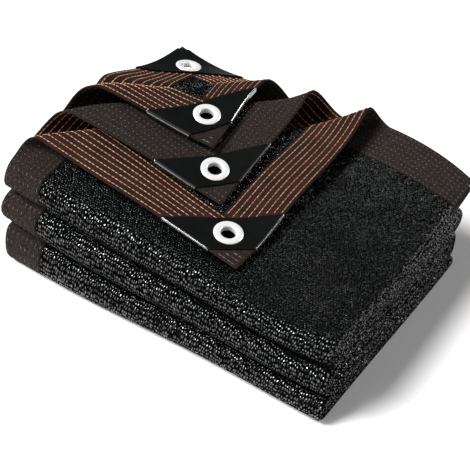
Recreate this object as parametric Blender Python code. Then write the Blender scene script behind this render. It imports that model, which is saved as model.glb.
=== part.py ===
"""Shade cloth folded into a bundle: knitted net, four edge tapes, four corner patches and four eyelets.

The cloth is folded in half twice, which brings its four corners together, and the four layers are then
folded back and forth in six passes. Each piece is cut flat, as a maker would cut it, and one mapping then
folds every piece the same way. Lengths are in millimetres up to make_object, which writes metres.
"""

import math

import bpy
import numpy as np
from mathutils import Vector
from mathutils.geometry import delaunay_2d_cdt

# The bundle: x runs along the rolls, y from the front rolls to the back, z up.
FREE_X = -166.0
FOLD_X = 158.0
END_Y = 133.0
FAR_END_Y = 110.0
LAYER_PITCH = 3.25
PASS_PITCH = 13.0
SHEET = 1.2
# Where each turn of the back-and-forth folding has its centre, from the top pass down.
TURNS = (
    ("front", -104.0),
    ("back", 106.0),
    ("front", -109.0),
    ("back", 108.0),
    ("front", -112.0),
)
TURN_STEPS = 6
SIDE_TURN_STEPS = 4
PASS_STEPS = 3
WIDTH_STEPS = 5

# The trimmings.
SEAM = 0.3
TAPE_WIDTH = 40.0
PATCH_LEG = 72.0
# How far along each edge the patch's tip is cut off, for each layer: the fourth patch is nearly whole.
PATCH_TIP_CUT = {1: 27.0, 2: 27.0, 3: 27.0, 4: 8.0}
PATCH_THICK = 0.6
PATCH_LINES = (8.0, 18.0, 36.0, 54.0, 72.0)
PATCH_ROOM = 0.6
PATCH_CORNER = 1.0
EYELET_INSET = 25.5
EYELET_OUTER_R = 12.5
EYELET_HOLE_R = 6.5
EYELET_WALL = 0.5
EYELET_EDGE = 0.3
EYELET_DOME = 0.9
EYELET_STEPS = 16

# The corners, by the layer each belongs to from the top: how far its fold line lies along the line from the
# front corner to the back one and how much the fold line turns from the diagonal, then the radius of its roll
# and the angle of the roll in degrees.
DOG_EARS = (
    {"layer": 1, "fold_at": 50.4, "turn": -0.01, "roll_radius": 7.5, "roll_angle": 183.9},
    {"layer": 2, "fold_at": 79.0, "turn": 0.076, "roll_radius": 13.5, "roll_angle": 185.3},
    {"layer": 3, "fold_at": 104.4, "turn": 0.16, "roll_radius": 18.6, "roll_angle": 184.8},
)
# The fourth corner isn't turned over: it is propped up behind the third roll.
PROP = {"layer": 4, "start_at": 105.0, "turn": 0.14, "bend_radius": 10.0, "bend_angle": 60.0, "rise": 28.0}
ROLL_STEPS = 8
FLAP_STEP = 36.0

# How much thicker the loose bundle is than the neat one, at places in x (across) and y (down the rows): first
# at the ground, then at LIFT_TOP above it in the neat bundle.
LIFT_X = (-161.0, -60.0, 50.0, 161.0)
LIFT_Y = (-120.0, -40.0, 40.0, 120.0)
LIFT_TOP = 90.0
LIFT_LOW = (
    (2.00, 1.35, 1.02, 1.05),
    (1.71, 1.34, 1.04, 1.03),
    (1.51, 1.29, 1.08, 1.01),
    (1.40, 1.20, 1.15, 1.00),
)
LIFT_HIGH = (
    (1.15, 1.20, 1.02, 1.04),
    (1.57, 1.30, 1.05, 1.03),
    (1.47, 1.31, 1.17, 1.04),
    (1.36, 1.24, 1.40, 1.10),
)
# How far the lowest rolls reach out past the top one at the free side.
ROLL_SPREAD = 11.0
# Slow waves in the height, x and y of the loose bundle: how big each is, how far along x, along y and up it
# takes to turn by one radian, and where it starts.
WAVES = {
    "height": {"size": 0.012, "x_run": 31.0, "y_run": 19.0, "up_run": math.inf, "start": 0.0},
    "x": {"size": 1.5, "x_run": math.inf, "y_run": 70.0, "up_run": 9.0, "start": 0.0},
    "y": {"size": 1.6, "x_run": 43.0, "y_run": math.inf, "up_run": 100.0, "start": 0.6},
}

SIDE_R = LAYER_PITCH / 2
TURN_R = PASS_PITCH / 2
WIDTH = FOLD_X - FREE_X
ACROSS = 2 * WIDTH + math.pi * SIDE_R
TOP_Z = 5.5 * PASS_PITCH
GROUND_Z = TURN_R - 1.5 * LAYER_PITCH - SHEET / 2
CORNER_N = (END_Y - FREE_X) / math.sqrt(2)


def path_pieces():
    """The straight passes and turns of the bundle's middle line, each with where it starts along the line."""
    pieces = []
    along = 0.0
    y = END_Y
    z = TOP_Z
    for side, centre in TURNS:
        run = abs(y - centre)
        pieces.append({"kind": "pass", "start": along, "length": run, "y": y, "z": z, "side": side})
        along += run
        length = math.pi * TURN_R
        pieces.append({"kind": side, "start": along, "length": length, "y": centre, "z": z - TURN_R})
        along += length
        y = centre
        z -= PASS_PITCH
    pieces.append({"kind": "pass", "start": along, "length": FAR_END_Y - y, "y": y, "z": z, "side": "back"})
    return pieces


PIECES = path_pieces()
HALF_LENGTH = PIECES[-1]["start"] + PIECES[-1]["length"]
END_TURN = math.pi * LAYER_PITCH
LENGTH = 2 * HALF_LENGTH + END_TURN


def middle_line(along):
    """Position (y, z) and normal (y, z) of the bundle's middle line, the normal on the first layer's side."""
    y = np.zeros_like(along)
    z = np.zeros_like(along)
    ny = np.zeros_like(along)
    nz = np.zeros_like(along)
    for piece in PIECES:
        inside = along >= (piece["start"] or -np.inf)
        u = along - piece["start"]
        angle = u / TURN_R
        if piece["kind"] == "pass":
            way = -1.0 if piece["side"] == "front" else 1.0
            values = (piece["y"] + way * u, piece["z"], 0.0, -way)
        elif piece["kind"] == "front":
            values = (
                piece["y"] - TURN_R * np.sin(angle),
                piece["z"] + TURN_R * np.cos(angle),
                -np.sin(angle),
                np.cos(angle),
            )
        else:
            values = (
                piece["y"] + TURN_R * np.sin(angle),
                piece["z"] + TURN_R * np.cos(angle),
                -np.sin(angle),
                -np.cos(angle),
            )
        for target, value in zip((y, z, ny, nz), values):
            target[inside] = np.broadcast_to(value, along.shape)[inside]
    return y, z, ny, nz


def ear_bends(layer):
    """The bends of one corner as (length, angle) pairs after a start, measured towards the back corner."""
    if layer == PROP["layer"]:
        angle = math.radians(PROP["bend_angle"])
        bend = PROP["bend_radius"] * angle
        by_bends = 2 * PROP["bend_radius"] * (1 - math.cos(angle))
        slope = (PROP["rise"] - by_bends) / math.sin(angle)
        return PROP["start_at"], ((bend, angle), (slope, 0.0), (bend, -angle))
    ear = DOG_EARS[layer - 1]
    angle = math.radians(ear["roll_angle"])
    return ear["fold_at"] - ear["roll_radius"], ((ear["roll_radius"] * angle, angle),)


def ear_turn(layer):
    """How much a corner's fold line turns from the diagonal."""
    return PROP["turn"] if layer == PROP["layer"] else DOG_EARS[layer - 1]["turn"]


def bent(layer, n):
    """Where a corner's points go: along and above the flat layer, and the heading there."""
    start, bends = ear_bends(layer)
    along = n.copy()
    above = np.zeros_like(n)
    heading = np.zeros_like(n)
    at_n, at_z, at_angle, at = start, 0.0, 0.0, start
    for length, angle in bends + ((np.inf, 0.0),):
        inside = n > at
        u = n[inside] - at
        if angle:
            radius = length / angle
            turned = at_angle + u / radius
            along[inside] = at_n + radius * (np.sin(turned) - math.sin(at_angle))
            above[inside] = at_z - radius * (np.cos(turned) - math.cos(at_angle))
            heading[inside] = turned
            at_n += radius * (math.sin(at_angle + angle) - math.sin(at_angle))
            at_z -= radius * (math.cos(at_angle + angle) - math.cos(at_angle))
            at_angle += angle
        else:
            along[inside] = at_n + u * math.cos(at_angle)
            above[inside] = at_z + u * math.sin(at_angle)
            heading[inside] = at_angle
            if length < np.inf:
                at_n += length * math.cos(at_angle)
                at_z += length * math.sin(at_angle)
        at += length
    return along, above, heading


def through_points(places, values, at):
    """The smooth curve through the values at the places."""
    total = 0.0
    for i, value in enumerate(values):
        weight = 1.0
        for j, other in enumerate(places):
            if j != i:
                weight = weight * (at - other) / (places[i] - other)
        total = total + weight * value
    return total


def wave(name, x, y, up):
    """One slow wave of the loose bundle."""
    shape = WAVES[name]
    turned = x / shape["x_run"] + y / shape["y_run"] + up / shape["up_run"] + shape["start"]
    return shape["size"] * np.sin(turned)


def loosen(x, y, z):
    """The loose bundle's shape from the neat one's: thicker on the free side, and a little uneven."""
    neat = z - GROUND_Z
    share = neat / LIFT_TOP
    low, high = (
        through_points(LIFT_Y, [through_points(LIFT_X, row, x) for row in table], y)
        for table in (LIFT_LOW, LIFT_HIGH)
    )
    height = neat * (low + (high - low) * share) * (1 + wave("height", x, y, neat))
    spread = ROLL_SPREAD * (1 - share) * np.minimum(x / FREE_X, 1.0) ** 2 * (x < 0)
    return x - spread + wave("x", x, y, height), y + wave("y", x, y, height), height


def fold(across, along, off):
    """The folded place of a point of the flat cloth that lies off its middle surface."""
    on_outer = across <= WIDTH
    on_inner = across >= ACROSS - WIDTH
    angle = np.clip((across - WIDTH) / SIDE_R, 0.0, math.pi)
    x = np.where(on_outer, FREE_X + across, FREE_X + ACROSS - across)
    x = np.where(on_outer | on_inner, x, FOLD_X + (SIDE_R + off) * np.sin(angle))
    depth = LAYER_PITCH + (SIDE_R + off) * np.cos(angle)
    second = along >= HALF_LENGTH + END_TURN
    turning = (along > HALF_LENGTH) & ~second
    path = np.where(second, LENGTH - along, np.minimum(along, HALF_LENGTH))
    y, z, ny, nz = middle_line(path)
    turned = np.where(turning, (along - HALF_LENGTH) / LAYER_PITCH, np.where(second, math.pi, 0.0))
    y = y + depth * (np.cos(turned) * ny + np.sin(turned))
    z = z + depth * np.cos(turned) * nz
    for layer in (1, 2, 3, 4):
        outer = layer in (1, 4)
        lower = layer in (3, 4)
        from_side = across if outer else ACROSS - across
        m = (FREE_X + END_Y + from_side - path) / math.sqrt(2)
        n = CORNER_N - (from_side + path) / math.sqrt(2) - ear_turn(layer) * m
        start = ear_bends(layer)[0]
        chosen = (on_outer if outer else on_inner) & (second if lower else along < HALF_LENGTH) & (n > start)
        if not chosen.any():
            continue
        m = m[chosen]
        ahead, above, heading = bent(layer, n[chosen])
        ahead = ahead + ear_turn(layer) * m
        up = off[chosen] * (1 if outer != lower else -1)
        ahead = ahead - up * np.sin(heading)
        x[chosen] = (m - ahead) / math.sqrt(2)
        y[chosen] = (m + ahead) / math.sqrt(2)
        z[chosen] = TOP_Z + (2.5 - layer) * LAYER_PITCH + above + up * np.cos(heading)
    return loosen(x, y, z)


def across_lines():
    """Where the flat cloth gets a line of vertices across its width."""
    side = [WIDTH * i / WIDTH_STEPS for i in range(WIDTH_STEPS + 1)]
    turn = [WIDTH + math.pi * SIDE_R * i / SIDE_TURN_STEPS for i in range(1, SIDE_TURN_STEPS)]
    return side + turn + [ACROSS - value for value in reversed(side)]


def along_lines():
    """Where the flat cloth gets a line of vertices along its length."""
    half = []
    for piece in PIECES:
        steps = PASS_STEPS if piece["kind"] == "pass" else TURN_STEPS
        half += [piece["start"] + piece["length"] * i / steps for i in range(steps)]
    end = [HALF_LENGTH + END_TURN * i / TURN_STEPS for i in range(TURN_STEPS + 1)]
    return half + end + [LENGTH - value for value in reversed(half)]


def ear_lines(layer):
    """The ends, along a corner's two edges, of the lines parallel to its fold that it needs."""
    start, bends = ear_bends(layer)
    places = [start]
    for length, angle in bends:
        steps = max(1, math.ceil(ROLL_STEPS * abs(angle) / math.pi))
        places += [places[-1] + length * (i + 1) / steps for i in range(steps)]
    flap = places[-1] + FLAP_STEP
    while flap < CORNER_N:
        places.append(flap)
        flap += FLAP_STEP
    turn = ear_turn(layer)
    totals = [math.sqrt(2) * (CORNER_N - place) - turn * (FREE_X + END_Y) for place in places]
    return [(total / (1 + turn), total / (1 - turn)) for total in totals]


def corner_point(layer, a, b):
    """A flat point given by its distances from the two edges that meet at a layer's corner."""
    across = a if layer in (1, 4) else ACROSS - a
    along = b if layer in (1, 2) else LENGTH - b
    return across, along


def clipped(start, end, low, high):
    """The part of a flat segment inside a rectangle, or None."""
    first, last = 0.0, 1.0
    for axis in (0, 1):
        span = end[axis] - start[axis]
        if abs(span) < 1e-9:
            if not low[axis] - 1e-6 <= start[axis] <= high[axis] + 1e-6:
                return None
            continue
        ends = sorted(((low[axis] - start[axis]) / span, (high[axis] - start[axis]) / span))
        first = max(first, ends[0])
        last = min(last, ends[1])
    if last - first < 1e-6:
        return None
    spans = (end[0] - start[0], end[1] - start[1])
    return tuple((start[0] + spans[0] * t, start[1] + spans[1] * t) for t in (first, last))


def bend_segments(low, high):
    """Every line of vertices the folding needs inside a rectangle of the flat cloth."""
    found = []
    for across in across_lines():
        if low[0] < across < high[0]:
            found.append(((across, low[1]), (across, high[1])))
    for along in along_lines():
        if low[1] < along < high[1]:
            found.append(((low[0], along), (high[0], along)))
    for layer in (1, 2, 3, 4):
        for on_side, on_end in ear_lines(layer):
            ends = corner_point(layer, on_side, 0.0), corner_point(layer, 0.0, on_end)
            found.append(clipped(*ends, low, high))
        for at in PATCH_LINES:
            first = corner_point(layer, at, -1.0), corner_point(layer, at, PATCH_LEG)
            second = corner_point(layer, -1.0, at), corner_point(layer, PATCH_LEG, at)
            found.append(clipped(*first, low, high))
            found.append(clipped(*second, low, high))
    return [segment for segment in found if segment]


def ring(centre, radius, steps):
    """Points round a circle."""
    angles = (2 * math.pi * i / steps for i in range(steps))
    return [(centre[0] + radius * math.cos(t), centre[1] + radius * math.sin(t)) for t in angles]


def within(points, outline):
    """Which points lie inside an outline."""
    found = np.zeros(len(points), bool)
    for start, end in zip(outline, outline[1:] + outline[:1]):
        crosses = (start[1] > points[:, 1]) != (end[1] > points[:, 1])
        rise = end[1] - start[1] if abs(end[1] - start[1]) > 1e-9 else 1.0
        at = start[0] + (points[:, 1] - start[1]) * (end[0] - start[0]) / rise
        found ^= crosses & (points[:, 0] < at)
    return found


def cut_flat(outline, segments, holes):
    """Triangles of a flat outline, with a line of edges on each segment and no faces in the holes."""
    points = []
    edges = []
    for loop in [outline] + holes:
        first = len(points)
        points += [Vector(point) for point in loop]
        count = len(loop)
        edges += [(first + i, first + (i + 1) % count) for i in range(count)]
    for start, end in segments:
        edges.append((len(points), len(points) + 1))
        points += [Vector(start), Vector(end)]
    flat, _, faces, _, _, _ = delaunay_2d_cdt(points, edges, [], 0, 1e-4)
    flat = np.array([tuple(point) for point in flat])
    faces = np.array([tuple(f) for f in faces])
    middles = flat[faces].mean(axis=1)
    keep = within(middles, outline)
    for hole in holes:
        keep &= ~within(middles, hole)
    return flat, faces[keep]


def edge_pairs(faces):
    """The directed edges that only one face has."""
    ends = np.concatenate([faces[:, [0, 1]], faces[:, [1, 2]], faces[:, [2, 0]]])
    size = int(faces.max()) + 1
    codes = ends[:, 0] * size + ends[:, 1]
    backward = ends[:, 1] * size + ends[:, 0]
    return ends[~np.isin(codes, backward)]


def slabs(flat, faces, levels, solid):
    """A closed body of flat triangles stacked in slabs; solid has one row of flags per slab."""
    count = len(flat)
    shell = []
    for number in range(len(levels)):
        above = solid[number] if number < len(solid) else np.zeros(len(faces), bool)
        below = solid[number - 1] if number else np.zeros(len(faces), bool)
        shell.append(faces[below & ~above] + number * count)
        shell.append(faces[above & ~below][:, ::-1] + number * count)
    for number, filled in enumerate(solid):
        ends = edge_pairs(faces[filled])
        low, high = number * count, (number + 1) * count
        shell.append(np.stack([ends[:, 0] + low, ends[:, 1] + low, ends[:, 1] + high], 1))
        shell.append(np.stack([ends[:, 0] + low, ends[:, 1] + high, ends[:, 0] + high], 1))
    shell = np.concatenate(shell)
    across = np.tile(flat[:, 0], len(levels))
    along = np.tile(flat[:, 1], len(levels))
    off = np.repeat(np.array(levels, float), count)
    used, index = np.unique(shell, return_inverse=True)
    points = np.stack(fold(across[used], along[used], off[used]), 1)
    return points, index.reshape(shell.shape)


def outward(points, faces):
    """The faces turned so that the body's volume is positive."""
    corners = points[faces]
    volume = np.einsum("ij,ij->", corners[:, 0], np.cross(corners[:, 1], corners[:, 2]))
    return faces if volume > 0 else faces[:, ::-1]


def rectangle(low, high):
    """The corners of a rectangle."""
    return [(low[0], low[1]), (high[0], low[1]), (high[0], high[1]), (low[0], high[1])]


def sheet_piece(low, high, holes):
    """One flat rectangle of cloth, folded."""
    flat, faces = cut_flat(rectangle(low, high), bend_segments(low, high), holes)
    filled = [np.ones(len(faces), bool)]
    return slabs(flat, faces, (-SHEET / 2, SHEET / 2), filled)


def net_cloth():
    """The knitted net inside the four tapes."""
    return sheet_piece((TAPE_WIDTH, TAPE_WIDTH), (ACROSS - TAPE_WIDTH, LENGTH - TAPE_WIDTH), [])


def tape_hole(layer):
    """The hole that an eyelet's barrel goes through."""
    centre = corner_point(layer, EYELET_INSET, EYELET_INSET)
    return ring(centre, EYELET_HOLE_R + EYELET_WALL + SEAM, EYELET_STEPS)


def long_tape(layers):
    """A tape sewn along a free side, with a hole at each end."""
    near = corner_point(layers[0], 0.0, 0.0)
    far = corner_point(layers[1], TAPE_WIDTH - SEAM, 0.0)
    low = (min(near[0], far[0]), 0.0)
    high = (max(near[0], far[0]), LENGTH)
    return sheet_piece(low, high, [tape_hole(layer) for layer in layers])


def end_tape(layer):
    """A tape sewn along an end, between the long tapes."""
    start = 0.0 if layer == 1 else LENGTH - TAPE_WIDTH + SEAM
    return sheet_piece((TAPE_WIDTH, start), (ACROSS - TAPE_WIDTH, start + TAPE_WIDTH - SEAM), [])


def corner_patch(layer):
    """A vinyl patch folded over both edges of a corner, with its tip cut off and a hole for the eyelet."""
    inner = SHEET / 2 + PATCH_ROOM
    outer = inner + PATCH_THICK
    wrap = SEAM + PATCH_THICK
    cut = PATCH_TIP_CUT[layer]
    leg = PATCH_LEG
    end = leg - PATCH_CORNER
    step = PATCH_CORNER - SEAM
    outline = [(cut, -wrap), (leg, -wrap), (leg, -SEAM), (end, step), (step, end)]
    outline += [(-SEAM, leg), (-wrap, leg), (-wrap, cut), (-SEAM, cut), (cut, -SEAM)]
    outline = [corner_point(layer, a, b) for a, b in outline]
    wall_a = corner_point(layer, cut, -SEAM), corner_point(layer, leg, -SEAM)
    wall_b = corner_point(layer, -SEAM, cut), corner_point(layer, -SEAM, leg)
    corners = np.array([corner_point(layer, -wrap, -wrap), corner_point(layer, leg, leg)])
    segments = [wall_a, wall_b] + bend_segments(corners.min(axis=0), corners.max(axis=0))
    flat, faces = cut_flat(outline, segments, [tape_hole(layer)])
    corner = np.array(corner_point(layer, 0.0, 0.0))
    inward = np.sign(np.array(corner_point(layer, 1.0, 1.0)) - corner)
    plates = np.ones(len(faces), bool)
    walls = ((flat[faces].mean(axis=1) - corner) * inward < -SEAM).any(axis=1)
    return slabs(flat, faces, (-outer, -inner, inner, outer), [plates, walls, plates])


def eyelet(layer):
    """A rolled metal eyelet: a barrel through the corner with a domed flange on each face."""
    base = SHEET / 2 + PATCH_ROOM + PATCH_THICK + SEAM
    hole = EYELET_HOLE_R
    rim = EYELET_OUTER_R
    barrel = hole + EYELET_WALL
    edge = base + EYELET_EDGE
    dome = base + EYELET_DOME
    half = [(barrel, base), (rim - EYELET_EDGE, base), (rim, edge), ((barrel + rim) / 2, dome)]
    half += [(barrel + EYELET_WALL, dome), (hole, edge)]
    profile = half + [(radius, -off) for radius, off in reversed(half)]
    centre = corner_point(layer, EYELET_INSET, EYELET_INSET)
    rings = [ring(centre, radius, EYELET_STEPS) for radius, _ in profile]
    flat = np.array(rings).reshape(-1, 2)
    off = np.repeat([height for _, height in profile], EYELET_STEPS)
    points = np.stack(fold(flat[:, 0], flat[:, 1], off), 1)
    faces = []
    for i in range(len(profile)):
        for j in range(EYELET_STEPS):
            a = i * EYELET_STEPS + j
            b = i * EYELET_STEPS + (j + 1) % EYELET_STEPS
            c = (i + 1) % len(profile) * EYELET_STEPS + (j + 1) % EYELET_STEPS
            d = (i + 1) % len(profile) * EYELET_STEPS + j
            faces += [(a, b, c), (a, c, d)]
    return points, np.array(faces)


def material(name, colour, roughness, metallic):
    """A plain surface for one kind of piece."""
    made = bpy.data.materials.new(name)
    made.use_nodes = True
    shader = made.node_tree.nodes["Principled BSDF"]
    shader.inputs["Base Color"].default_value = (*colour, 1.0)
    shader.inputs["Roughness"].default_value = roughness
    shader.inputs["Metallic"].default_value = metallic
    made.diffuse_color = (*colour, 1.0)
    return made


def make_object(name, points, faces, look):
    """One closed body in metres."""
    mesh = bpy.data.meshes.new(name)
    mesh.from_pydata((points / 1000.0).tolist(), [], outward(points, faces).tolist())
    mesh.materials.append(look)
    made = bpy.data.objects.new(name, mesh)
    bpy.context.scene.collection.objects.link(made)


def main():
    for old in list(bpy.data.objects):
        bpy.data.objects.remove(old)
    net = material("net_black", (0.018, 0.022, 0.02), 0.5, 0.0)
    tape = material("tape_brown", (0.09, 0.04, 0.025), 0.7, 0.0)
    vinyl = material("vinyl_black", (0.015, 0.015, 0.016), 0.4, 0.0)
    metal = material("eyelet_metal", (0.85, 0.86, 0.87), 0.25, 1.0)
    bodies = [("net_cloth", *net_cloth(), net)]
    bodies.append(("long_tape_a", *long_tape((1, 4)), tape))
    bodies.append(("long_tape_b", *long_tape((2, 3)), tape))
    bodies.append(("end_tape_a", *end_tape(1), tape))
    bodies.append(("end_tape_b", *end_tape(4), tape))
    for layer in (1, 2, 3, 4):
        bodies.append((f"corner_patch_{layer}", *corner_patch(layer), vinyl))
        bodies.append((f"eyelet_{layer}", *eyelet(layer), metal))
    every = np.concatenate([points for _, points, _, _ in bodies])
    low, high = every.min(axis=0), every.max(axis=0)
    centre = np.array([(low[0] + high[0]) / 2, (low[1] + high[1]) / 2, low[2]])
    for name, points, faces, look in bodies:
        make_object(name, points - centre, faces, look)


main()
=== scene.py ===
"""A folded shade cloth: knitted net, taped and stitched edges, vinyl corner patches and metal eyelets."""

import math

import bpy
import numpy as np
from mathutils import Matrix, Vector


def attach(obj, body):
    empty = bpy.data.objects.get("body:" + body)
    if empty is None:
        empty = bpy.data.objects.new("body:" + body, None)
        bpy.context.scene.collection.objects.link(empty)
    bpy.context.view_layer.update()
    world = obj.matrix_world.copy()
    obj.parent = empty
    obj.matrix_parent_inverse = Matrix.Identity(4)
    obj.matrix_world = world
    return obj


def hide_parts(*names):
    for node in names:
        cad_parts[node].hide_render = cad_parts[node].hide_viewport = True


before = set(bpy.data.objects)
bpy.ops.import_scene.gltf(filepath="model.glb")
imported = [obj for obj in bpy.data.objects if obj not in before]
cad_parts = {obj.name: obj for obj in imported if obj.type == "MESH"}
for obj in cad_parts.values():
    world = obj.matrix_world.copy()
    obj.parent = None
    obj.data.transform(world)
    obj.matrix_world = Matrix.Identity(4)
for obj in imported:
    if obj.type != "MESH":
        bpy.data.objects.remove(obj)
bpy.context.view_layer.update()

# The studio: the bundle is seen from its front left corner, a little from above, on a pale sweep of
# paper under large soft lamps.
VIEW_AZIMUTH = math.radians(35.1)
VIEW_HEIGHT = math.radians(38.1)
VIEW_DISTANCE = 0.797
VIEW_TARGET = Vector((0.0124, -0.0185, 0.045))
LENS = 68.9
SENSOR = 36.0
camera_data = bpy.data.cameras.new("camera")
camera_data.lens = LENS
camera_data.sensor_width = SENSOR
camera = bpy.data.objects.new("camera", camera_data)
back = Vector(
    (
        math.sin(VIEW_AZIMUTH) * math.cos(VIEW_HEIGHT),
        -math.cos(VIEW_AZIMUTH) * math.cos(VIEW_HEIGHT),
        math.sin(VIEW_HEIGHT),
    )
)
camera.location = VIEW_TARGET + VIEW_DISTANCE * back
camera.rotation_euler = back.to_track_quat("Z", "Y").to_euler()
bpy.context.scene.collection.objects.link(camera)
bpy.context.scene.camera = camera

SKY_LIGHT = 0.07
LAMPS = (
    {"name": "key_lamp", "towards": (-0.45, -0.41, 0.79), "wide": 27.0, "strength": 5.0},
    {"name": "front_lamp", "towards": (-0.35, -0.78, 0.52), "wide": 18.0, "strength": 0.5},
    {"name": "rim_lamp", "towards": (0.50, 0.70, 0.50), "wide": 16.0, "strength": 1.3},
)
for lamp in LAMPS:
    lamp_data = bpy.data.lights.new(lamp["name"], "SUN")
    lamp_data.energy = lamp["strength"]
    lamp_data.angle = math.radians(lamp["wide"])
    lamp_object = bpy.data.objects.new(lamp["name"], lamp_data)
    lamp_object.location = lamp["towards"]
    lamp_object.rotation_euler = Vector(lamp["towards"]).to_track_quat("Z", "Y").to_euler()
    bpy.context.scene.collection.objects.link(lamp_object)
world = bpy.data.worlds.new("studio")
world.use_nodes = True
world.node_tree.nodes["Background"].inputs["Color"].default_value = (1.0, 1.0, 1.0, 1.0)
world.node_tree.nodes["Background"].inputs["Strength"].default_value = SKY_LIGHT
bpy.context.scene.world = world
bpy.context.scene.view_settings.view_transform = "Standard"

FLOOR_HALF = 8.0
floor_mesh = bpy.data.meshes.new("floor")
floor_corners = [(x * FLOOR_HALF, y * FLOOR_HALF, 0.0) for x, y in ((-1, -1), (1, -1), (1, 1), (-1, 1))]
floor_mesh.from_pydata(floor_corners, [], [(0, 1, 2, 3)])
floor = bpy.data.objects.new("floor", floor_mesh)
bpy.context.scene.collection.objects.link(floor)
floor_paper = bpy.data.materials.new("floor_paper")
floor_paper.use_nodes = True
paper = floor_paper.node_tree.nodes["Principled BSDF"]
paper.inputs["Base Color"].default_value = (0.93, 0.93, 0.93, 1.0)
paper.inputs["Roughness"].default_value = 0.9
floor_mesh.materials.append(floor_paper)

# The net: one long piece of knitted polythene net, cut flat, folded in half twice so that its four corners
# meet, then folded back and forth in six passes. Its corners are turned back one after the other in rolls.
# Lengths here are in millimetres in the flat cloth: across its width and along its length.
FREE_X = -166.0
FOLD_X = 158.0
END_Y = 133.0
FAR_END_Y = 110.0
LAYER_PITCH = 3.25
PASS_PITCH = 13.0
SHEET = 1.2
CENTRE = (-8.3885, 4.4860)
TURNS = (("front", -104.0), ("back", 106.0), ("front", -109.0), ("back", 108.0), ("front", -112.0))
CORNERS = (
    {"layer": 1, "fold_at": 50.4, "turn": -0.01, "roll_radius": 7.5, "roll_angle": 183.9},
    {"layer": 2, "fold_at": 79.0, "turn": 0.076, "roll_radius": 13.5, "roll_angle": 185.3},
    {"layer": 3, "fold_at": 104.4, "turn": 0.16, "roll_radius": 18.6, "roll_angle": 184.8},
    {"layer": 4, "start_at": 105.0, "turn": 0.14, "bend_radius": 10.0, "bend_angle": 60.0, "rise": 28.0},
)
LIFT_X = (-161.0, -60.0, 50.0, 161.0)
LIFT_Y = (-120.0, -40.0, 40.0, 120.0)
LIFT_TOP = 90.0
LIFT_LOW = (
    (2.00, 1.35, 1.02, 1.05),
    (1.71, 1.34, 1.04, 1.03),
    (1.51, 1.29, 1.08, 1.01),
    (1.40, 1.20, 1.15, 1.00),
)
LIFT_HIGH = (
    (1.15, 1.20, 1.02, 1.04),
    (1.57, 1.30, 1.05, 1.03),
    (1.47, 1.31, 1.17, 1.04),
    (1.36, 1.24, 1.40, 1.10),
)
ROLL_SPREAD = 11.0
HEIGHT_WAVE = (0.012, 31.0, 19.0)
SIDE_WAVE = (1.5, 70.0, 9.0)
FRONT_WAVE = (1.6, 43.0, 100.0, 0.6)
SIDE_R = LAYER_PITCH / 2
TURN_R = PASS_PITCH / 2
WIDTH = FOLD_X - FREE_X
ACROSS = 2 * WIDTH + math.pi * SIDE_R
TOP_Z = 5.5 * PASS_PITCH
GROUND_Z = TURN_R - 1.5 * LAYER_PITCH - SHEET / 2
CORNER_N = (END_Y - FREE_X) / math.sqrt(2)


def fold_path():
    """The bundle's middle line as straight passes and half-circle turns, from the top pass down."""
    pieces = []
    along, y, z = 0.0, END_Y, TOP_Z
    for side, centre in TURNS:
        way = -1.0 if side == "front" else 1.0
        pieces.append({"kind": "pass", "start": along, "y": y, "z": z, "way": way})
        along += abs(y - centre)
        pieces.append({"kind": side, "start": along, "y": centre, "z": z - TURN_R})
        along += math.pi * TURN_R
        y, z = centre, z - PASS_PITCH
    pieces.append({"kind": "pass", "start": along, "y": y, "z": z, "way": 1.0})
    return pieces, along + FAR_END_Y - y


PATH, HALF_LENGTH = fold_path()
END_TURN = math.pi * LAYER_PITCH
LENGTH = 2 * HALF_LENGTH + END_TURN


def middle_line(along):
    """Place and normal of the middle line: y = start + way * u on a pass, centre + r (sin, cos) on a turn."""
    y, z, ny, nz = (np.zeros_like(along) for _ in range(4))
    for piece in PATH:
        inside = along >= (piece["start"] or -np.inf)
        u = along[inside] - piece["start"]
        if piece["kind"] == "pass":
            y[inside] = piece["y"] + piece["way"] * u
            z[inside] = piece["z"]
            ny[inside] = 0.0
            nz[inside] = -piece["way"]
        else:
            way = -1.0 if piece["kind"] == "front" else 1.0
            y[inside] = piece["y"] + way * TURN_R * np.sin(u / TURN_R)
            z[inside] = piece["z"] + TURN_R * np.cos(u / TURN_R)
            ny[inside] = -np.sin(u / TURN_R)
            nz[inside] = -way * np.cos(u / TURN_R)
    return y, z, ny, nz


def bends(corner):
    """Where a corner starts to bend and its bends as (length, angle) pairs."""
    if "rise" in corner:
        angle = math.radians(corner["bend_angle"])
        bend = corner["bend_radius"] * angle
        slope = (corner["rise"] - 2 * corner["bend_radius"] * (1 - math.cos(angle))) / math.sin(angle)
        return corner["start_at"], ((bend, angle), (slope, 0.0), (bend, -angle))
    angle = math.radians(corner["roll_angle"])
    return corner["fold_at"] - corner["roll_radius"], ((corner["roll_radius"] * angle, angle),)


def bent(corner, n):
    """A corner's profile, arcs and straights laid end to end from its start: distance, height and heading."""
    at, parts = bends(corner)
    ahead, above, heading = n.copy(), np.zeros_like(n), np.zeros_like(n)
    x, z, turned = at, 0.0, 0.0
    for length, angle in parts + ((np.inf, 0.0),):
        inside = n > at
        u = n[inside] - at
        radius = length / angle if angle else np.inf
        now = turned + u / radius
        if angle:
            ahead[inside] = x + radius * (np.sin(now) - math.sin(turned))
            above[inside] = z - radius * (np.cos(now) - math.cos(turned))
            x += radius * (math.sin(turned + angle) - math.sin(turned))
            z -= radius * (math.cos(turned + angle) - math.cos(turned))
        else:
            ahead[inside] = x + u * math.cos(turned)
            above[inside] = z + u * math.sin(turned)
            if length < np.inf:
                x, z = x + length * math.cos(turned), z + length * math.sin(turned)
        heading[inside] = now
        turned += angle
        at += length
    return ahead, above, heading


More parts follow.
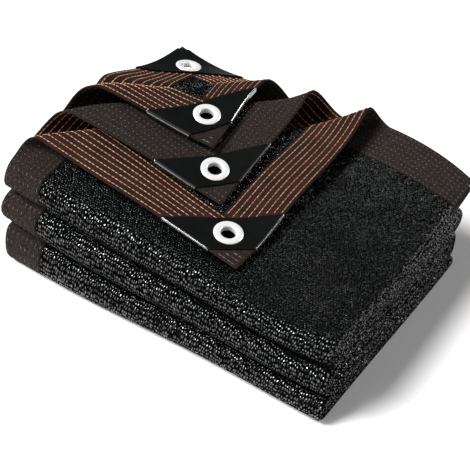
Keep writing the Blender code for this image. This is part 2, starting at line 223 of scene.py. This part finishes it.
def through_points(places, values, at):
    """The polynomial through the values at the places: the sum of each value times its Lagrange weight."""
    total = 0.0
    for i, value in enumerate(values):
        weight = 1.0
        for j, other in enumerate(places):
            if j != i:
                weight = weight * (at - other) / (places[i] - other)
        total = total + weight * value
    return total


def loosen(x, y, z):
    """The loose bundle: heights times a lift that changes over x and y, low rolls spread out, slow waves."""
    neat = z - GROUND_Z
    share = neat / LIFT_TOP
    low, high = (
        through_points(LIFT_Y, [through_points(LIFT_X, row, x) for row in table], y)
        for table in (LIFT_LOW, LIFT_HIGH)
    )
    size, over_x, over_y = HEIGHT_WAVE
    height = neat * (low + (high - low) * share) * (1 + size * np.sin(x / over_x + y / over_y))
    spread = ROLL_SPREAD * (1 - share) * np.minimum(x / FREE_X, 1.0) ** 2 * (x < 0)
    size, over_y, over_height = SIDE_WAVE
    x_out = x - spread + size * np.sin(y / over_y + height / over_height)
    size, over_x, over_height, shift = FRONT_WAVE
    y_out = y + size * np.sin(x / over_x + height / over_height + shift)
    return x_out, y_out, height


def fold(across, along, off):
    """The folded place, in metres, of flat points that lie off the cloth's middle surface.

    Across the cloth: the outer layer, a half circle of radius SIDE_R, the inner layer. Along it: the middle
    line's passes and turns. Each corner then bends about a line near the square's diagonal.
    """
    across, along, off = np.broadcast_arrays(*(np.asarray(v, float) for v in (across, along, off)))
    on_outer = across <= WIDTH
    on_inner = across >= ACROSS - WIDTH
    angle = np.clip((across - WIDTH) / SIDE_R, 0.0, math.pi)
    x = np.where(on_outer, FREE_X + across, FREE_X + ACROSS - across)
    x = np.where(on_outer | on_inner, x, FOLD_X + (SIDE_R + off) * np.sin(angle))
    depth = LAYER_PITCH + (SIDE_R + off) * np.cos(angle)
    second = along >= HALF_LENGTH + END_TURN
    turning = (along > HALF_LENGTH) & ~second
    path = np.where(second, LENGTH - along, np.minimum(along, HALF_LENGTH))
    y, z, ny, nz = middle_line(path)
    turned = np.where(turning, (along - HALF_LENGTH) / LAYER_PITCH, np.where(second, math.pi, 0.0))
    y = y + depth * (np.cos(turned) * ny + np.sin(turned))
    z = z + depth * np.cos(turned) * nz
    for corner in CORNERS:
        layer, turn = corner["layer"], corner["turn"]
        outer, lower = layer in (1, 4), layer in (3, 4)
        from_side = across if outer else ACROSS - across
        m = (FREE_X + END_Y + from_side - path) / math.sqrt(2)
        n = CORNER_N - (from_side + path) / math.sqrt(2) - turn * m
        chosen = (on_outer if outer else on_inner) & (second if lower else along < HALF_LENGTH)
        chosen = chosen & (n > bends(corner)[0])
        if not chosen.any():
            continue
        m = m[chosen]
        ahead, above, heading = bent(corner, n[chosen])
        up = off[chosen] * (1 if outer != lower else -1)
        ahead = ahead + turn * m - up * np.sin(heading)
        x[chosen] = (m - ahead) / math.sqrt(2)
        y[chosen] = (m + ahead) / math.sqrt(2)
        z[chosen] = TOP_Z + (2.5 - layer) * LAYER_PITCH + above + up * np.cos(heading)
    x, y, z = loosen(x, y, z)
    return np.stack([x - CENTRE[0], y - CENTRE[1], z], -1) / 1000.0


def steps(start, end, size):
    """Evenly spaced values from start to end, at most size apart, without the end."""
    count = max(1, math.ceil(abs(end - start) / size))
    return [start + (end - start) * i / count for i in range(count)]


def lines_along(top_step, pass_step, turn_steps):
    """Lines across the cloth: close on the top pass, where the corners roll, and in each turn."""
    half = []
    for piece, following in zip(PATH, PATH[1:] + [{"start": HALF_LENGTH}]):
        if piece["kind"] == "pass":
            step = pass_step if piece["start"] else top_step
        else:
            step = (following["start"] - piece["start"]) / turn_steps
        half += steps(piece["start"], following["start"], step)
    end = steps(HALF_LENGTH, HALF_LENGTH + END_TURN, END_TURN / turn_steps) + [HALF_LENGTH + END_TURN]
    return np.array(half + end + [LENGTH - v for v in reversed(half)])


LINE_GAP = 0.5


def between(lines, low, high):
    """The lines inside a range, with the range's own ends."""
    return np.array([low] + [v for v in lines if low + LINE_GAP < v < high - LINE_GAP] + [high])


def closed_body(name, faces, points, flat):
    """A smooth mesh with the flat cloth's coordinates on each vertex.

    The faces are quads, or triangles where the last vertex is given twice.
    """
    used, index = np.unique(faces, return_inverse=True)
    faces = index.reshape(faces.shape)
    points = points[used]
    corners = points[faces]
    middle = points.mean(axis=0)
    diagonals = np.cross(corners[:, 2] - corners[:, 0], corners[:, 3] - corners[:, 1])
    volume = np.einsum("ij,ij->", corners.mean(axis=1) - middle, diagonals)
    single = np.ones(faces.shape, bool)
    single[:, 3] = faces[:, 3] != faces[:, 2]
    if volume < 0:
        faces, single = faces[:, ::-1], single[:, ::-1]
    loops = faces[single]
    starts = np.cumsum(single.sum(axis=1)) - single.sum(axis=1)
    mesh = bpy.data.meshes.new(name)
    mesh.vertices.add(len(points))
    mesh.vertices.foreach_set("co", points.ravel())
    mesh.loops.add(len(loops))
    mesh.loops.foreach_set("vertex_index", loops.astype(np.int32))
    mesh.polygons.add(len(faces))
    mesh.polygons.foreach_set("loop_start", starts.astype(np.int32))
    mesh.update(calc_edges=True)
    mesh.shade_smooth()
    kept = mesh.attributes.new("flat", "FLOAT_VECTOR", "POINT")
    kept.data.foreach_set("vector", flat[used].ravel())
    made = bpy.data.objects.new(name, mesh)
    bpy.context.scene.collection.objects.link(made)
    return made


def shell_faces(rows, columns, keep, wrap):
    """Quads of two copies of a grid and of the walls that join them round the edge of the kept cells."""
    size = rows * columns
    i, j = np.nonzero(keep)
    after = (j + 1) % columns if wrap else j + 1
    a, b, c, d = i * columns + j, i * columns + after, (i + 1) * columns + after, (i + 1) * columns + j
    faces = [np.stack([a, b, c, d], 1), np.stack([d, c, b, a], 1) + size]
    for start, end in ((a, b), (b, c), (c, d), (d, a)):
        faces.append(np.stack([end, start, start + size, end + size], 1))
    walls = np.concatenate(faces[2:])
    span = 2 * size
    codes = walls[:, 1] * span + walls[:, 0]
    back_codes = walls[:, 0] * span + walls[:, 1]
    return np.concatenate(faces[:2] + [walls[~np.isin(codes, back_codes)]])


def cloth_body(name, across, along, half, keep=None):
    """A closed sheet on a grid of the flat cloth: one face at off = -half, one at off = +half."""
    u, v = np.meshgrid(across, along)
    if keep is None:
        keep = np.ones((len(along) - 1, len(across) - 1), bool)
    points = np.concatenate([fold(u, v, off).reshape(-1, 3) for off in (-half, half)])
    faces_of_cloth = [np.stack([u, v, np.full_like(u, face)], -1).reshape(-1, 3) for face in (-1.0, 1.0)]
    flat = np.concatenate(faces_of_cloth)
    return closed_body(name, shell_faces(len(along), len(across), keep, False), points, flat)


TAPE_WIDTH = 40.0
SEAM = 0.3
ACROSS_STEP = 3.6
SIDE_TURN_STEP = math.pi * SIDE_R / 5
NET_LINES = {"top_step": 3.2, "pass_step": 45.0, "turn_steps": 8}
across_lines = steps(0.0, WIDTH, ACROSS_STEP) + steps(WIDTH, ACROSS - WIDTH, SIDE_TURN_STEP)
across_lines += steps(ACROSS - WIDTH, ACROSS, ACROSS_STEP)
net_across = between(across_lines, TAPE_WIDTH, ACROSS - TAPE_WIDTH)
net_along = between(lines_along(**NET_LINES), TAPE_WIDTH, LENGTH - TAPE_WIDTH)
net = cloth_body("knitted_net", net_across, net_along, SHEET / 2)


def node(tree, kind, **sockets):
    """A shader node with some of its sockets set or linked."""
    made = tree.nodes.new(kind)
    for key, value in sockets.items():
        name = int(key[1:]) if key[0] == "_" else key.replace("_", " ")
        if isinstance(value, bpy.types.NodeSocket):
            tree.links.new(value, made.inputs[name])
        else:
            made.inputs[name].default_value = value
    return made


def maths(tree, operation, *values):
    """The result of a maths node."""
    made = node(tree, "ShaderNodeMath", **{f"_{i}": value for i, value in enumerate(values)})
    made.operation = operation
    return made.outputs[0]


def ramp(tree, value, low, high):
    """The colour between two (place, colour) ends of a ramp, at the value."""
    made = node(tree, "ShaderNodeValToRGB", Fac=value)
    for element, (position, colour) in zip(made.color_ramp.elements, (low, high)):
        element.position = position
        element.color = (*colour, 1.0)
    return made.outputs[0]


def finish(name):
    """A material with its shader, and the flat cloth's coordinates to draw on."""
    made = bpy.data.materials.new(name)
    made.use_nodes = True
    tree = made.node_tree
    flat = tree.nodes.new("ShaderNodeAttribute")
    flat.attribute_name = "flat"
    return made, tree, tree.nodes["Principled BSDF"], flat.outputs["Vector"]


# The net's yarn is flat shiny tape, so each loop catches the light by itself: loops stand in rows, each
# row half a step along from the last, and every loop is tilted its own way. The rows drift a little.
LOOP = 2.3
LOOP_ROW = LOOP * 0.86
LOOP_DRIFT = (3.2, 3.2, 0.0)
LOOP_STRAY = (0.5, 0.5, 0.0)
LOOP_FIRST = (0.25, 0.25, 0.0)
LOOP_TILT = 0.6
# How few loops carry the painted glint: a lighter base colour that stands in for the loops' sparkle.
PAINTED_GLINT_FEW = 4.0
SHINE_CORE = 1.5
SHINE_FEW = 0.6
NET_SHINE = 0.25
NET_IOR = 1.85
net_finish, tree, shader, flat = finish("net_knit")
wander = node(tree, "ShaderNodeTexNoise", Vector=flat, Scale=0.11, Detail=1.0)
drift = node(tree, "ShaderNodeVectorMath", _0=wander.outputs["Color"], _1=LOOP_DRIFT, _2=flat)
drift.operation = "MULTIPLY_ADD"
cell = node(tree, "ShaderNodeSeparateXYZ", Vector=drift.outputs[0])
row = maths(tree, "DIVIDE", cell.outputs["Y"], LOOP_ROW)
odd = maths(tree, "MULTIPLY", maths(tree, "MODULO", maths(tree, "FLOOR", row), 2.0), 0.5)
column = maths(tree, "ADD", maths(tree, "DIVIDE", cell.outputs["X"], LOOP), odd)
loop_x, loop_y = maths(tree, "FLOOR", column), maths(tree, "FLOOR", row)
which_loop = node(tree, "ShaderNodeCombineXYZ", X=loop_x, Y=loop_y, Z=cell.outputs["Z"])
chance = node(tree, "ShaderNodeTexWhiteNoise", Vector=which_loop.outputs[0])
luck = node(tree, "ShaderNodeSeparateXYZ", Vector=chance.outputs["Color"])
middle = node(tree, "ShaderNodeVectorMath", _0=chance.outputs["Color"], _1=LOOP_STRAY, _2=LOOP_FIRST)
middle.operation = "MULTIPLY_ADD"
centre = node(tree, "ShaderNodeSeparateXYZ", Vector=middle.outputs[0])
in_column = maths(tree, "SUBTRACT", maths(tree, "FRACT", column), centre.outputs["X"])
in_row = maths(tree, "SUBTRACT", maths(tree, "FRACT", row), centre.outputs["Y"])
squares = maths(tree, "MULTIPLY", in_row, in_row), maths(tree, "MULTIPLY", in_column, in_column)
away = maths(tree, "SQRT", maths(tree, "ADD", *squares))
size = node(tree, "ShaderNodeMapRange", Value=luck.outputs["Z"], To_Min=0.85, To_Max=1.5)
reach = maths(tree, "MULTIPLY", away, size.outputs[0])
loop = node(tree, "ShaderNodeMapRange", Value=reach, From_Min=0.14, From_Max=0.48, To_Min=1.0, To_Max=0.0)
loop.interpolation_type = "SMOOTHSTEP"
tilt = node(tree, "ShaderNodeVectorMath", _0=chance.outputs["Color"], _1=(0.5, 0.5, 0.5))
tilt.operation = "SUBTRACT"
tilt_size = node(tree, "ShaderNodeVectorMath", _0=tilt.outputs[0])
tilt_size.operation = "SCALE"
tilt_size.inputs["Scale"].default_value = LOOP_TILT
sag = node(tree, "ShaderNodeTexNoise", Vector=flat, Scale=0.035, Detail=2.0)
slack = node(tree, "ShaderNodeBump", Height=sag.outputs[0], Strength=0.6, Distance=0.006)
ridge = node(tree, "ShaderNodeBump", Height=loop.outputs[0], Strength=0.8, Distance=0.0003)
tree.links.new(slack.outputs[0], ridge.inputs["Normal"])
tilted = node(tree, "ShaderNodeVectorMath", _0=ridge.outputs[0], _1=tilt_size.outputs[0])
tilted.operation = "ADD"
facet = node(tree, "ShaderNodeVectorMath", _0=tilted.outputs[0])
facet.operation = "NORMALIZE"
tree.links.new(facet.outputs[0], shader.inputs["Normal"])
# Painted glint: a few loops get a lighter base colour that stands in for sparkle, on top of the real
# highlights from their tilts.
painted_glint = maths(tree, "MULTIPLY", loop.outputs[0], maths(tree, "POWER", luck.outputs["Z"], PAINTED_GLINT_FEW))
yarn = ramp(tree, painted_glint, (0.0, (0.0014, 0.0017, 0.0017)), (1.0, (0.012, 0.014, 0.0135)))
tree.links.new(yarn, shader.inputs["Base Color"])
gloss = node(tree, "ShaderNodeMapRange", Value=loop.outputs[0], To_Min=0.42, To_Max=0.22)
tree.links.new(gloss.outputs[0], shader.inputs["Roughness"])
core = maths(tree, "POWER", loop.outputs[0], SHINE_CORE)
few = maths(tree, "POWER", luck.outputs["Y"], SHINE_FEW)
# The export drops the link into this socket. The socket itself also holds about the average shine,
# for wherever the link into it is not kept.
shader.inputs["Specular IOR Level"].default_value = NET_SHINE
tree.links.new(maths(tree, "MULTIPLY", core, few), shader.inputs["Specular IOR Level"])
shader.inputs["IOR"].default_value = NET_IOR
net.data.materials.append(net_finish)
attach(net, "root")
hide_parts("net_cloth")

# The tapes: woven brown polyester tape, 40 mm wide, sewn flat over each edge of the net in eight rows of
# stitches. The two long ones run the whole length, and the short ones fit between them.
EYELET_INSET = 25.5
HOLE_HIDDEN = 9.2
TAPE_HALF = 0.62
TAPE_STEP = 2.5
TAPE_LINES = {"top_step": 2.6, "pass_step": 40.0, "turn_steps": 9}


def corner_place(layer, a, b):
    """Flat place of a point by its distances from the two edges that meet at a layer's corner."""
    return (a if layer in (1, 4) else ACROSS - a), (b if layer in (1, 2) else LENGTH - b)


def tape_lines(low, high, lines):
    """Close even lines over the tape's width, or the cloth's own lines along the tape."""
    if high - low > TAPE_WIDTH:
        return between(lines, low, high)
    return np.array(steps(low, high, TAPE_STEP) + [high])


def tape_body(name, low, high, layers):
    """A strip of tape, with openings under the eyelets' flanges of the layers given."""
    across = tape_lines(low[0], high[0], across_lines)
    along = tape_lines(low[1], high[1], lines_along(**TAPE_LINES))
    u, v = np.meshgrid((across[1:] + across[:-1]) / 2, (along[1:] + along[:-1]) / 2)
    keep = np.ones(u.shape, bool)
    for layer in layers:
        centre = corner_place(layer, EYELET_INSET, EYELET_INSET)
        keep &= np.hypot(u - centre[0], v - centre[1]) > HOLE_HIDDEN
    return cloth_body(name, across, along, TAPE_HALF, keep)


def node_group(name, inputs, outputs):
    """An empty shader node group with its named sockets, and its input and output nodes."""
    group = bpy.data.node_groups.new(name, "ShaderNodeTree")
    for way, sockets in (("INPUT", inputs), ("OUTPUT", outputs)):
        for socket, kind in sockets:
            group.interface.new_socket(name=socket, in_out=way, socket_type=kind)
    return group, group.nodes.new("NodeGroupInput"), group.nodes.new("NodeGroupOutput")


def placed(tree, group, **sockets):
    """A node group placed in a material, with its own values."""
    made = tree.nodes.new("ShaderNodeGroup")
    made.node_tree = group
    for name, value in sockets.items():
        if isinstance(value, bpy.types.NodeSocket):
            tree.links.new(value, made.inputs[name])
        else:
            made.inputs[name].default_value = value
    return made


# How far a place on the flat cloth is from the nearest long edge and from the nearest short edge. The tapes
# and the patches both use it.
edge_distance, group_in, group_out = node_group(
    "edge_distance",
    [("Place", "NodeSocketVector")],
    [("Side", "NodeSocketFloat"), ("End", "NodeSocketFloat")],
)
flat_xy = node(edge_distance, "ShaderNodeSeparateXYZ", Vector=group_in.outputs["Place"])
for socket, axis, far_edge in (("Side", "X", ACROSS), ("End", "Y", LENGTH)):
    from_far = maths(edge_distance, "SUBTRACT", far_edge, flat_xy.outputs[axis])
    nearest = maths(edge_distance, "MINIMUM", flat_xy.outputs[axis], from_far)
    edge_distance.links.new(nearest, group_out.inputs[socket])


inner = TAPE_WIDTH - SEAM
PATCH_LEG = 72.0
PATCH_TIP_CUT = {1: 27.0, 2: 27.0, 3: 27.0, 4: 8.0}
tapes = [
    (tape_body("side_tape_a", (0.0, 0.0), (inner, LENGTH), (1, 4)), "long_tape_a"),
    (tape_body("side_tape_b", (ACROSS - inner, 0.0), (ACROSS, LENGTH), (2, 3)), "long_tape_b"),
    (tape_body("end_tape_front", (TAPE_WIDTH, 0.0), (ACROSS - TAPE_WIDTH, inner), ()), "end_tape_a"),
    (
        tape_body("end_tape_under", (TAPE_WIDTH, LENGTH - inner), (ACROSS - TAPE_WIDTH, LENGTH), ()),
        "end_tape_b",
    ),
]
tape_finish, tree, shader, flat = finish("tape_weave")
split = tree.nodes.new("ShaderNodeSeparateXYZ")
tree.links.new(flat, split.inputs[0])
# The tape's face is redder than its back, and its tips below the patches are drawn mostly in the back's
# darker colour.
WEAVE = 1.1
TIP_DARK = 0.75
over = maths(tree, "SINE", maths(tree, "MULTIPLY", split.outputs["X"], 2 * math.pi / WEAVE))
under = maths(tree, "SINE", maths(tree, "MULTIPLY", split.outputs["Y"], 2 * math.pi / WEAVE))
weave = maths(tree, "MULTIPLY", over, under)
blotch = node(tree, "ShaderNodeTexNoise", Vector=flat, Scale=0.05, Detail=3.0)
grain = node(tree, "ShaderNodeTexNoise", Vector=flat, Scale=1.3, Detail=2.0)
face_colour = ramp(tree, blotch.outputs[0], (0.35, (0.013, 0.006, 0.004)), (0.7, (0.034, 0.011, 0.0065)))
back_colour = ramp(tree, grain.outputs[0], (0.42, (0.004, 0.003, 0.0026)), (0.66, (0.043, 0.030, 0.025)))
near = placed(tree, edge_distance, Place=flat)
from_corner = maths(tree, "ADD", near.outputs["Side"], near.outputs["End"])
tip = maths(tree, "LESS_THAN", from_corner, PATCH_TIP_CUT[1] + 1.0)
on_back = maths(tree, "GREATER_THAN", split.outputs["Z"], 0.0)
which = maths(tree, "MAXIMUM", on_back, maths(tree, "MULTIPLY", tip, TIP_DARK))
colour = node(tree, "ShaderNodeMix")
colour.data_type = "RGBA"
tree.links.new(which, colour.inputs["Factor"])
tree.links.new(face_colour, colour.inputs["A"])
tree.links.new(back_colour, colour.inputs["B"])
tree.links.new(colour.outputs["Result"], shader.inputs["Base Color"])
cloth_bump = node(tree, "ShaderNodeBump", Height=weave, Strength=0.5, Distance=0.0003)
tree.links.new(cloth_bump.outputs[0], shader.inputs["Normal"])
shader.inputs["Roughness"].default_value = 0.85
shader.inputs["Specular IOR Level"].default_value = 0.15
for tape, cad_node in tapes:
    tape.data.materials.append(tape_finish)
    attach(tape, "root")
    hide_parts(cad_node)

# The stitching: pale orange polyester thread. On the tape's face each stitch is a long low bead lying in
# line with the next, and on the back only the short loops of the lower thread show. A bead is given by its
# length, width, height, face of the cloth and the places along it where it is drawn.
ROWS = 8
ROW_INSET = 2.6
ROW_ENDS = (3.0, 6.0)
STITCH = 4.2
PATCH_CLEAR = 1.0
TIP_CLEAR = 7.0
BEAD_POINTS = 3
BEAD_SUNK = 0.03
BEAD_END = 0.02
LONG_BEAD = (3.7, 0.85, 0.4, -1.0, (-1.0, -0.7, 0.7, 1.0))
SHORT_BEAD = (1.6, 0.8, 0.3, 1.0, (-1.0, 0.0, 1.0))


def row_places(edge):
    """Flat start points and directions of the stitches on one edge's tape, in rows along it."""
    offsets = ROW_INSET + (TAPE_WIDTH - 2 * ROW_INSET) / (ROWS - 1) * np.arange(ROWS)
    first, last = ROW_ENDS
    if edge in ("side_a", "side_b"):
        at, way = np.arange(first, LENGTH - last, STITCH), (0.0, 1.0)
    else:
        at, way = np.arange(TAPE_WIDTH + first, ACROSS - TAPE_WIDTH - last, STITCH), (1.0, 0.0)
    places = []
    for offset in offsets:
        row = np.full_like(at, offset)
        across, along = {
            "side_a": (row, at),
            "side_b": (ACROSS - row, at),
            "end_front": (at, row),
            "end_under": (at, LENGTH - row),
        }[edge]
        places.append(np.stack([across, along, np.full_like(at, way[0]), np.full_like(at, way[1])], 1))
    return np.concatenate(places)


def clear_of_patches(places):
    """The stitches that no patch covers, along the tapes and on the tips: the fourth patch covers its tip."""
    near_across = np.minimum(places[:, 0], ACROSS - places[:, 0])
    near_along = np.minimum(places[:, 1], LENGTH - places[:, 1])
    total = near_across + near_along
    fourth = (places[:, 0] < WIDTH) & (places[:, 1] > HALF_LENGTH)
    on_tip = (total < PATCH_TIP_CUT[1] - TIP_CLEAR) & ~fourth
    return places[total > PATCH_LEG + PATCH_CLEAR], places[on_tip]


def beads(name, places, length, width, height, side, t):
    """Low beads on one face of the cloth.

    Each is a ridge whose width and height follow a rounded end: both scale with sqrt(1 - t^4) at the values
    of t, from -1 to 1 along it. Its ends are closed with one triangle each.
    """
    t = np.array(t)
    angle = np.linspace(0.0, math.pi, BEAD_POINTS)
    swell = np.sqrt(np.maximum(1 - t**4, BEAD_END))
    run = (t * length / 2)[:, None] + 0 * angle
    out = width / 2 * swell[:, None] * np.cos(angle)
    up = height * swell[:, None] * np.sin(angle)
    along_x, along_y = places[:, 2, None, None], places[:, 3, None, None]
    u = places[:, 0, None, None] + along_x * (run + length / 2) - along_y * out
    v = places[:, 1, None, None] + along_y * (run + length / 2) + along_x * out
    off = side * (TAPE_HALF - BEAD_SUNK + up)
    points = fold(u, v, np.broadcast_to(off, u.shape)).reshape(-1, 3)
    points[:, 2] = np.maximum(points[:, 2], 0.0)
    flat_place = np.stack([u, v, np.full_like(u, side)], -1).reshape(-1, 3)
    columns = len(angle)
    i, j = np.meshgrid(np.arange(len(t) - 1), np.arange(columns), indexing="ij")
    after = (j + 1) % columns
    here, beyond = i * columns, (i + 1) * columns
    quads = np.stack([here + j, here + after, beyond + after, beyond + j], -1)
    last = (len(t) - 1) * columns
    ends = np.array([[2, 1, 0, 0], [last, last + 1, last + 2, last + 2]])
    one = np.concatenate([quads.reshape(-1, 4), ends])
    faces = (one[None] + (np.arange(len(places)) * len(t) * columns)[:, None, None]).reshape(-1, 4)
    return closed_body(name, faces, points, flat_place)


rows = {edge: row_places(edge) for edge in ("side_a", "side_b", "end_front", "end_under")}
tips = np.concatenate([clear_of_patches(places)[1] for places in rows.values()])
rows = {edge: clear_of_patches(places)[0] for edge, places in rows.items()}
every_row = np.concatenate(list(rows.values()))
end_rows = np.concatenate([rows["end_front"], rows["end_under"]])
face_stitches = (
    beads("face_stitches_side_a", rows["side_a"], *LONG_BEAD),
    beads("face_stitches_side_b", rows["side_b"], *LONG_BEAD),
    beads("face_stitches_ends", end_rows, *LONG_BEAD),
)
back_stitches = (
    beads("back_stitches", np.concatenate([every_row, tips]), *SHORT_BEAD),
    beads("tip_stitches", tips, *LONG_BEAD),
)
THREADS = (
    ("face_thread", face_stitches, (0.46, 0.17, 0.09), (0.86, 0.50, 0.33)),
    ("back_thread", back_stitches, (0.05, 0.037, 0.03), (0.26, 0.19, 0.16)),
)
# The plies of the thread: noise along the cloth picks between a dark and a light colour.
plies, group_in, group_out = node_group(
    "thread_plies",
    [("Place", "NodeSocketVector"), ("Dark", "NodeSocketColor"), ("Light", "NodeSocketColor")],
    [("Color", "NodeSocketColor")],
)
twist = node(plies, "ShaderNodeTexNoise", Vector=group_in.outputs["Place"], Scale=0.35, Detail=2.0)
lighter = node(plies, "ShaderNodeMapRange", Value=twist.outputs[0], From_Min=0.35, From_Max=0.65)
blend = plies.nodes.new("ShaderNodeMix")
blend.data_type = "RGBA"
plies.links.new(lighter.outputs[0], blend.inputs["Factor"])
plies.links.new(group_in.outputs["Dark"], blend.inputs["A"])
plies.links.new(group_in.outputs["Light"], blend.inputs["B"])
plies.links.new(blend.outputs["Result"], group_out.inputs["Color"])
for name, made, dark, light in THREADS:
    thread, tree, shader, flat = finish(name)
    ply = placed(tree, plies, Place=flat, Dark=(*dark, 1.0), Light=(*light, 1.0))
    tree.links.new(ply.outputs["Color"], shader.inputs["Base Color"])
    shader.inputs["Roughness"].default_value = 0.5
    for stitches in made:
        stitches.data.materials.append(thread)
        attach(stitches, "root")

# The corner patches: black vinyl sheet, folded over both edges of a corner with its tip cut off, and held
# by the eyelet and a hot pressed edge.
PATCH_HALF = 1.85
PATCH_THICK = 0.6
PATCH_CELLS = (34, 40)
FOLD_REACH = 0.55
FOLD_STEPS = 9
PATCH_SHINE = 0.25
vinyl, tree, shader, flat = finish("patch_vinyl")
mottle = node(tree, "ShaderNodeTexNoise", Vector=flat, Scale=0.08, Detail=4.0)
skin = ramp(tree, mottle.outputs[0], (0.3, (0.0018, 0.0021, 0.0021)), (0.75, (0.0045, 0.0052, 0.0052)))
tree.links.new(skin, shader.inputs["Base Color"])
pebble = node(tree, "ShaderNodeTexNoise", Vector=flat, Scale=1.4, Detail=2.0)
skin_bump = node(tree, "ShaderNodeBump", Height=pebble.outputs[0], Strength=0.25, Distance=0.0003)
tree.links.new(skin_bump.outputs[0], shader.inputs["Normal"])
near = placed(tree, edge_distance, Place=flat)
fold_edge = maths(tree, "MINIMUM", near.outputs["Side"], near.outputs["End"])
shader.inputs["Specular IOR Level"].default_value = PATCH_SHINE
EDGE_GLOSS = (("IOR", 2.4, 1.5), ("Roughness", 0.2, 0.32), ("Specular IOR Level", 1.0, PATCH_SHINE))
for socket, at_edge, inside in EDGE_GLOSS:
    gloss = node(tree, "ShaderNodeMapRange", Value=fold_edge, From_Min=0.2, From_Max=1.2)
    gloss.inputs["To Min"].default_value = at_edge
    gloss.inputs["To Max"].default_value = inside
    tree.links.new(gloss.outputs[0], shader.inputs[socket])


def patch_body(layer):
    """A flattened tube of vinyl round the corner.

    The rows are at a + b = s from the cut tip to the long side. Round each row, t goes across the face, round
    a half circle at the cloth's edge, back across the other face and round the other edge.
    """
    s = np.linspace(PATCH_TIP_CUT[layer], PATCH_LEG, PATCH_CELLS[0])[:, None]
    t = np.linspace(0.0, 1.0, PATCH_CELLS[1])[None]
    turn = np.linspace(-math.pi / 2, math.pi / 2, FOLD_STEPS)[None, 1:-1]
    rings = []
    for half in (PATCH_HALF, PATCH_HALF - PATCH_THICK):
        reach = half * FOLD_REACH
        a = [s * t, s + 0 * turn, s * t[:, ::-1], 0 * s - reach * np.cos(turn)]
        b = [s * (1 - t), 0 * s - reach * np.cos(turn), s * (1 - t[:, ::-1]), s + 0 * turn]
        off = [0 * s * t - half, half * np.sin(turn) + 0 * s, 0 * s * t + half, -half * np.sin(turn) + 0 * s]
        a, b, off = (np.concatenate(parts, axis=1) for parts in (a, b, off))
        rings.append((a, b, off))
    keep_a = rings[0][0]
    keep_b = rings[0][1]
    a_next, b_next = np.roll(keep_a, -1, axis=1), np.roll(keep_b, -1, axis=1)
    middle_a = (keep_a[:-1] + a_next[:-1] + keep_a[1:] + a_next[1:]) / 4
    middle_b = (keep_b[:-1] + b_next[:-1] + keep_b[1:] + b_next[1:]) / 4
    keep = np.hypot(middle_a - EYELET_INSET, middle_b - EYELET_INSET) > HOLE_HIDDEN
    points, flat_place = [], []
    for a, b, off in rings:
        across, along = corner_place(layer, a, b)
        points.append(fold(across, along, off).reshape(-1, 3))
        flat_place.append(np.stack([across, along, np.sign(off)], -1).reshape(-1, 3))
    rows, columns = keep_a.shape
    faces = shell_faces(rows, columns, keep, True)
    return closed_body(f"vinyl_patch_{layer}", faces, np.concatenate(points), np.concatenate(flat_place))


patches = [patch_body(layer) for layer in (1, 2, 3, 4)]
for layer, patch in enumerate(patches, 1):
    patch.data.materials.append(vinyl)
    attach(patch, "root")
    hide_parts(f"corner_patch_{layer}")

# The eyelets: two-part rolled aluminium eyelets, pressed through patch and tape, with a rounded flange on
# each face and a smooth barrel between them.
EYELET_R = 12.5
HOLE_R = 6.5
FLANGE_FOOT = PATCH_HALF * 1.15
FLANGE = 1.0
DOME_POWER = 0.8
DOME_STEPS = 13
RING_STEPS = 64
aluminium, tree, shader, _ = finish("eyelet_aluminium")
coordinates = tree.nodes.new("ShaderNodeTexCoord")
scratches = node(tree, "ShaderNodeTexNoise", Vector=coordinates.outputs["Object"], Scale=900.0, Detail=3.0)
polish = node(tree, "ShaderNodeMapRange", Value=scratches.outputs[0], To_Min=0.24, To_Max=0.42)
tree.links.new(polish.outputs[0], shader.inputs["Roughness"])
shader.inputs["Base Color"].default_value = (0.96, 0.96, 0.96, 1.0)
shader.inputs["Metallic"].default_value = 0.4


def eyelet_body(layer):
    """A ring turned round the hole's axis: a barrel, and on each face a flange domed as a half ellipse."""
    across, along = corner_place(layer, EYELET_INSET, EYELET_INSET)
    place, one, two = fold([across, across + 2.0, across], [along, along, along + 2.0], 0.0)
    one, two = one - place, two - place
    normal = np.cross(one, two)
    normal /= np.linalg.norm(normal)
    one /= np.linalg.norm(one)
    two = np.cross(normal, one)
    dome = np.linspace(0.0, math.pi, DOME_STEPS)
    middle_r, half_width = (EYELET_R + HOLE_R) / 2, (EYELET_R - HOLE_R) / 2
    radius = middle_r + half_width * np.cos(dome)
    height = FLANGE_FOOT + FLANGE * np.sin(dome) ** DOME_POWER
    profile_r = np.concatenate([radius, radius[::-1]])
    profile_h = np.concatenate([height, -height[::-1]])
    turn = np.linspace(0.0, 2 * math.pi, RING_STEPS + 1)[:-1]
    r, angle = np.meshgrid(profile_r, turn, indexing="ij")
    h = np.broadcast_to(profile_h[:, None], r.shape)
    points = place + (r * np.cos(angle))[..., None] / 1000 * one + (r * np.sin(angle))[..., None] / 1000 * two
    points = points + h[..., None] / 1000 * normal
    rows, columns = r.shape
    i, j = np.meshgrid(np.arange(rows), np.arange(columns), indexing="ij")
    below, after = (i + 1) % rows, (j + 1) % columns
    faces = np.stack([i * columns + j, i * columns + after, below * columns + after, below * columns + j], -1)
    flat_place = np.zeros((rows * columns, 3))
    return closed_body(f"rolled_eyelet_{layer}", faces.reshape(-1, 4), points.reshape(-1, 3), flat_place)


eyelets = [eyelet_body(layer) for layer in (1, 2, 3, 4)]
for layer, eyelet in enumerate(eyelets, 1):
    eyelet.data.materials.append(aluminium)
    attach(eyelet, "root")
    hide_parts(f"eyelet_{layer}")
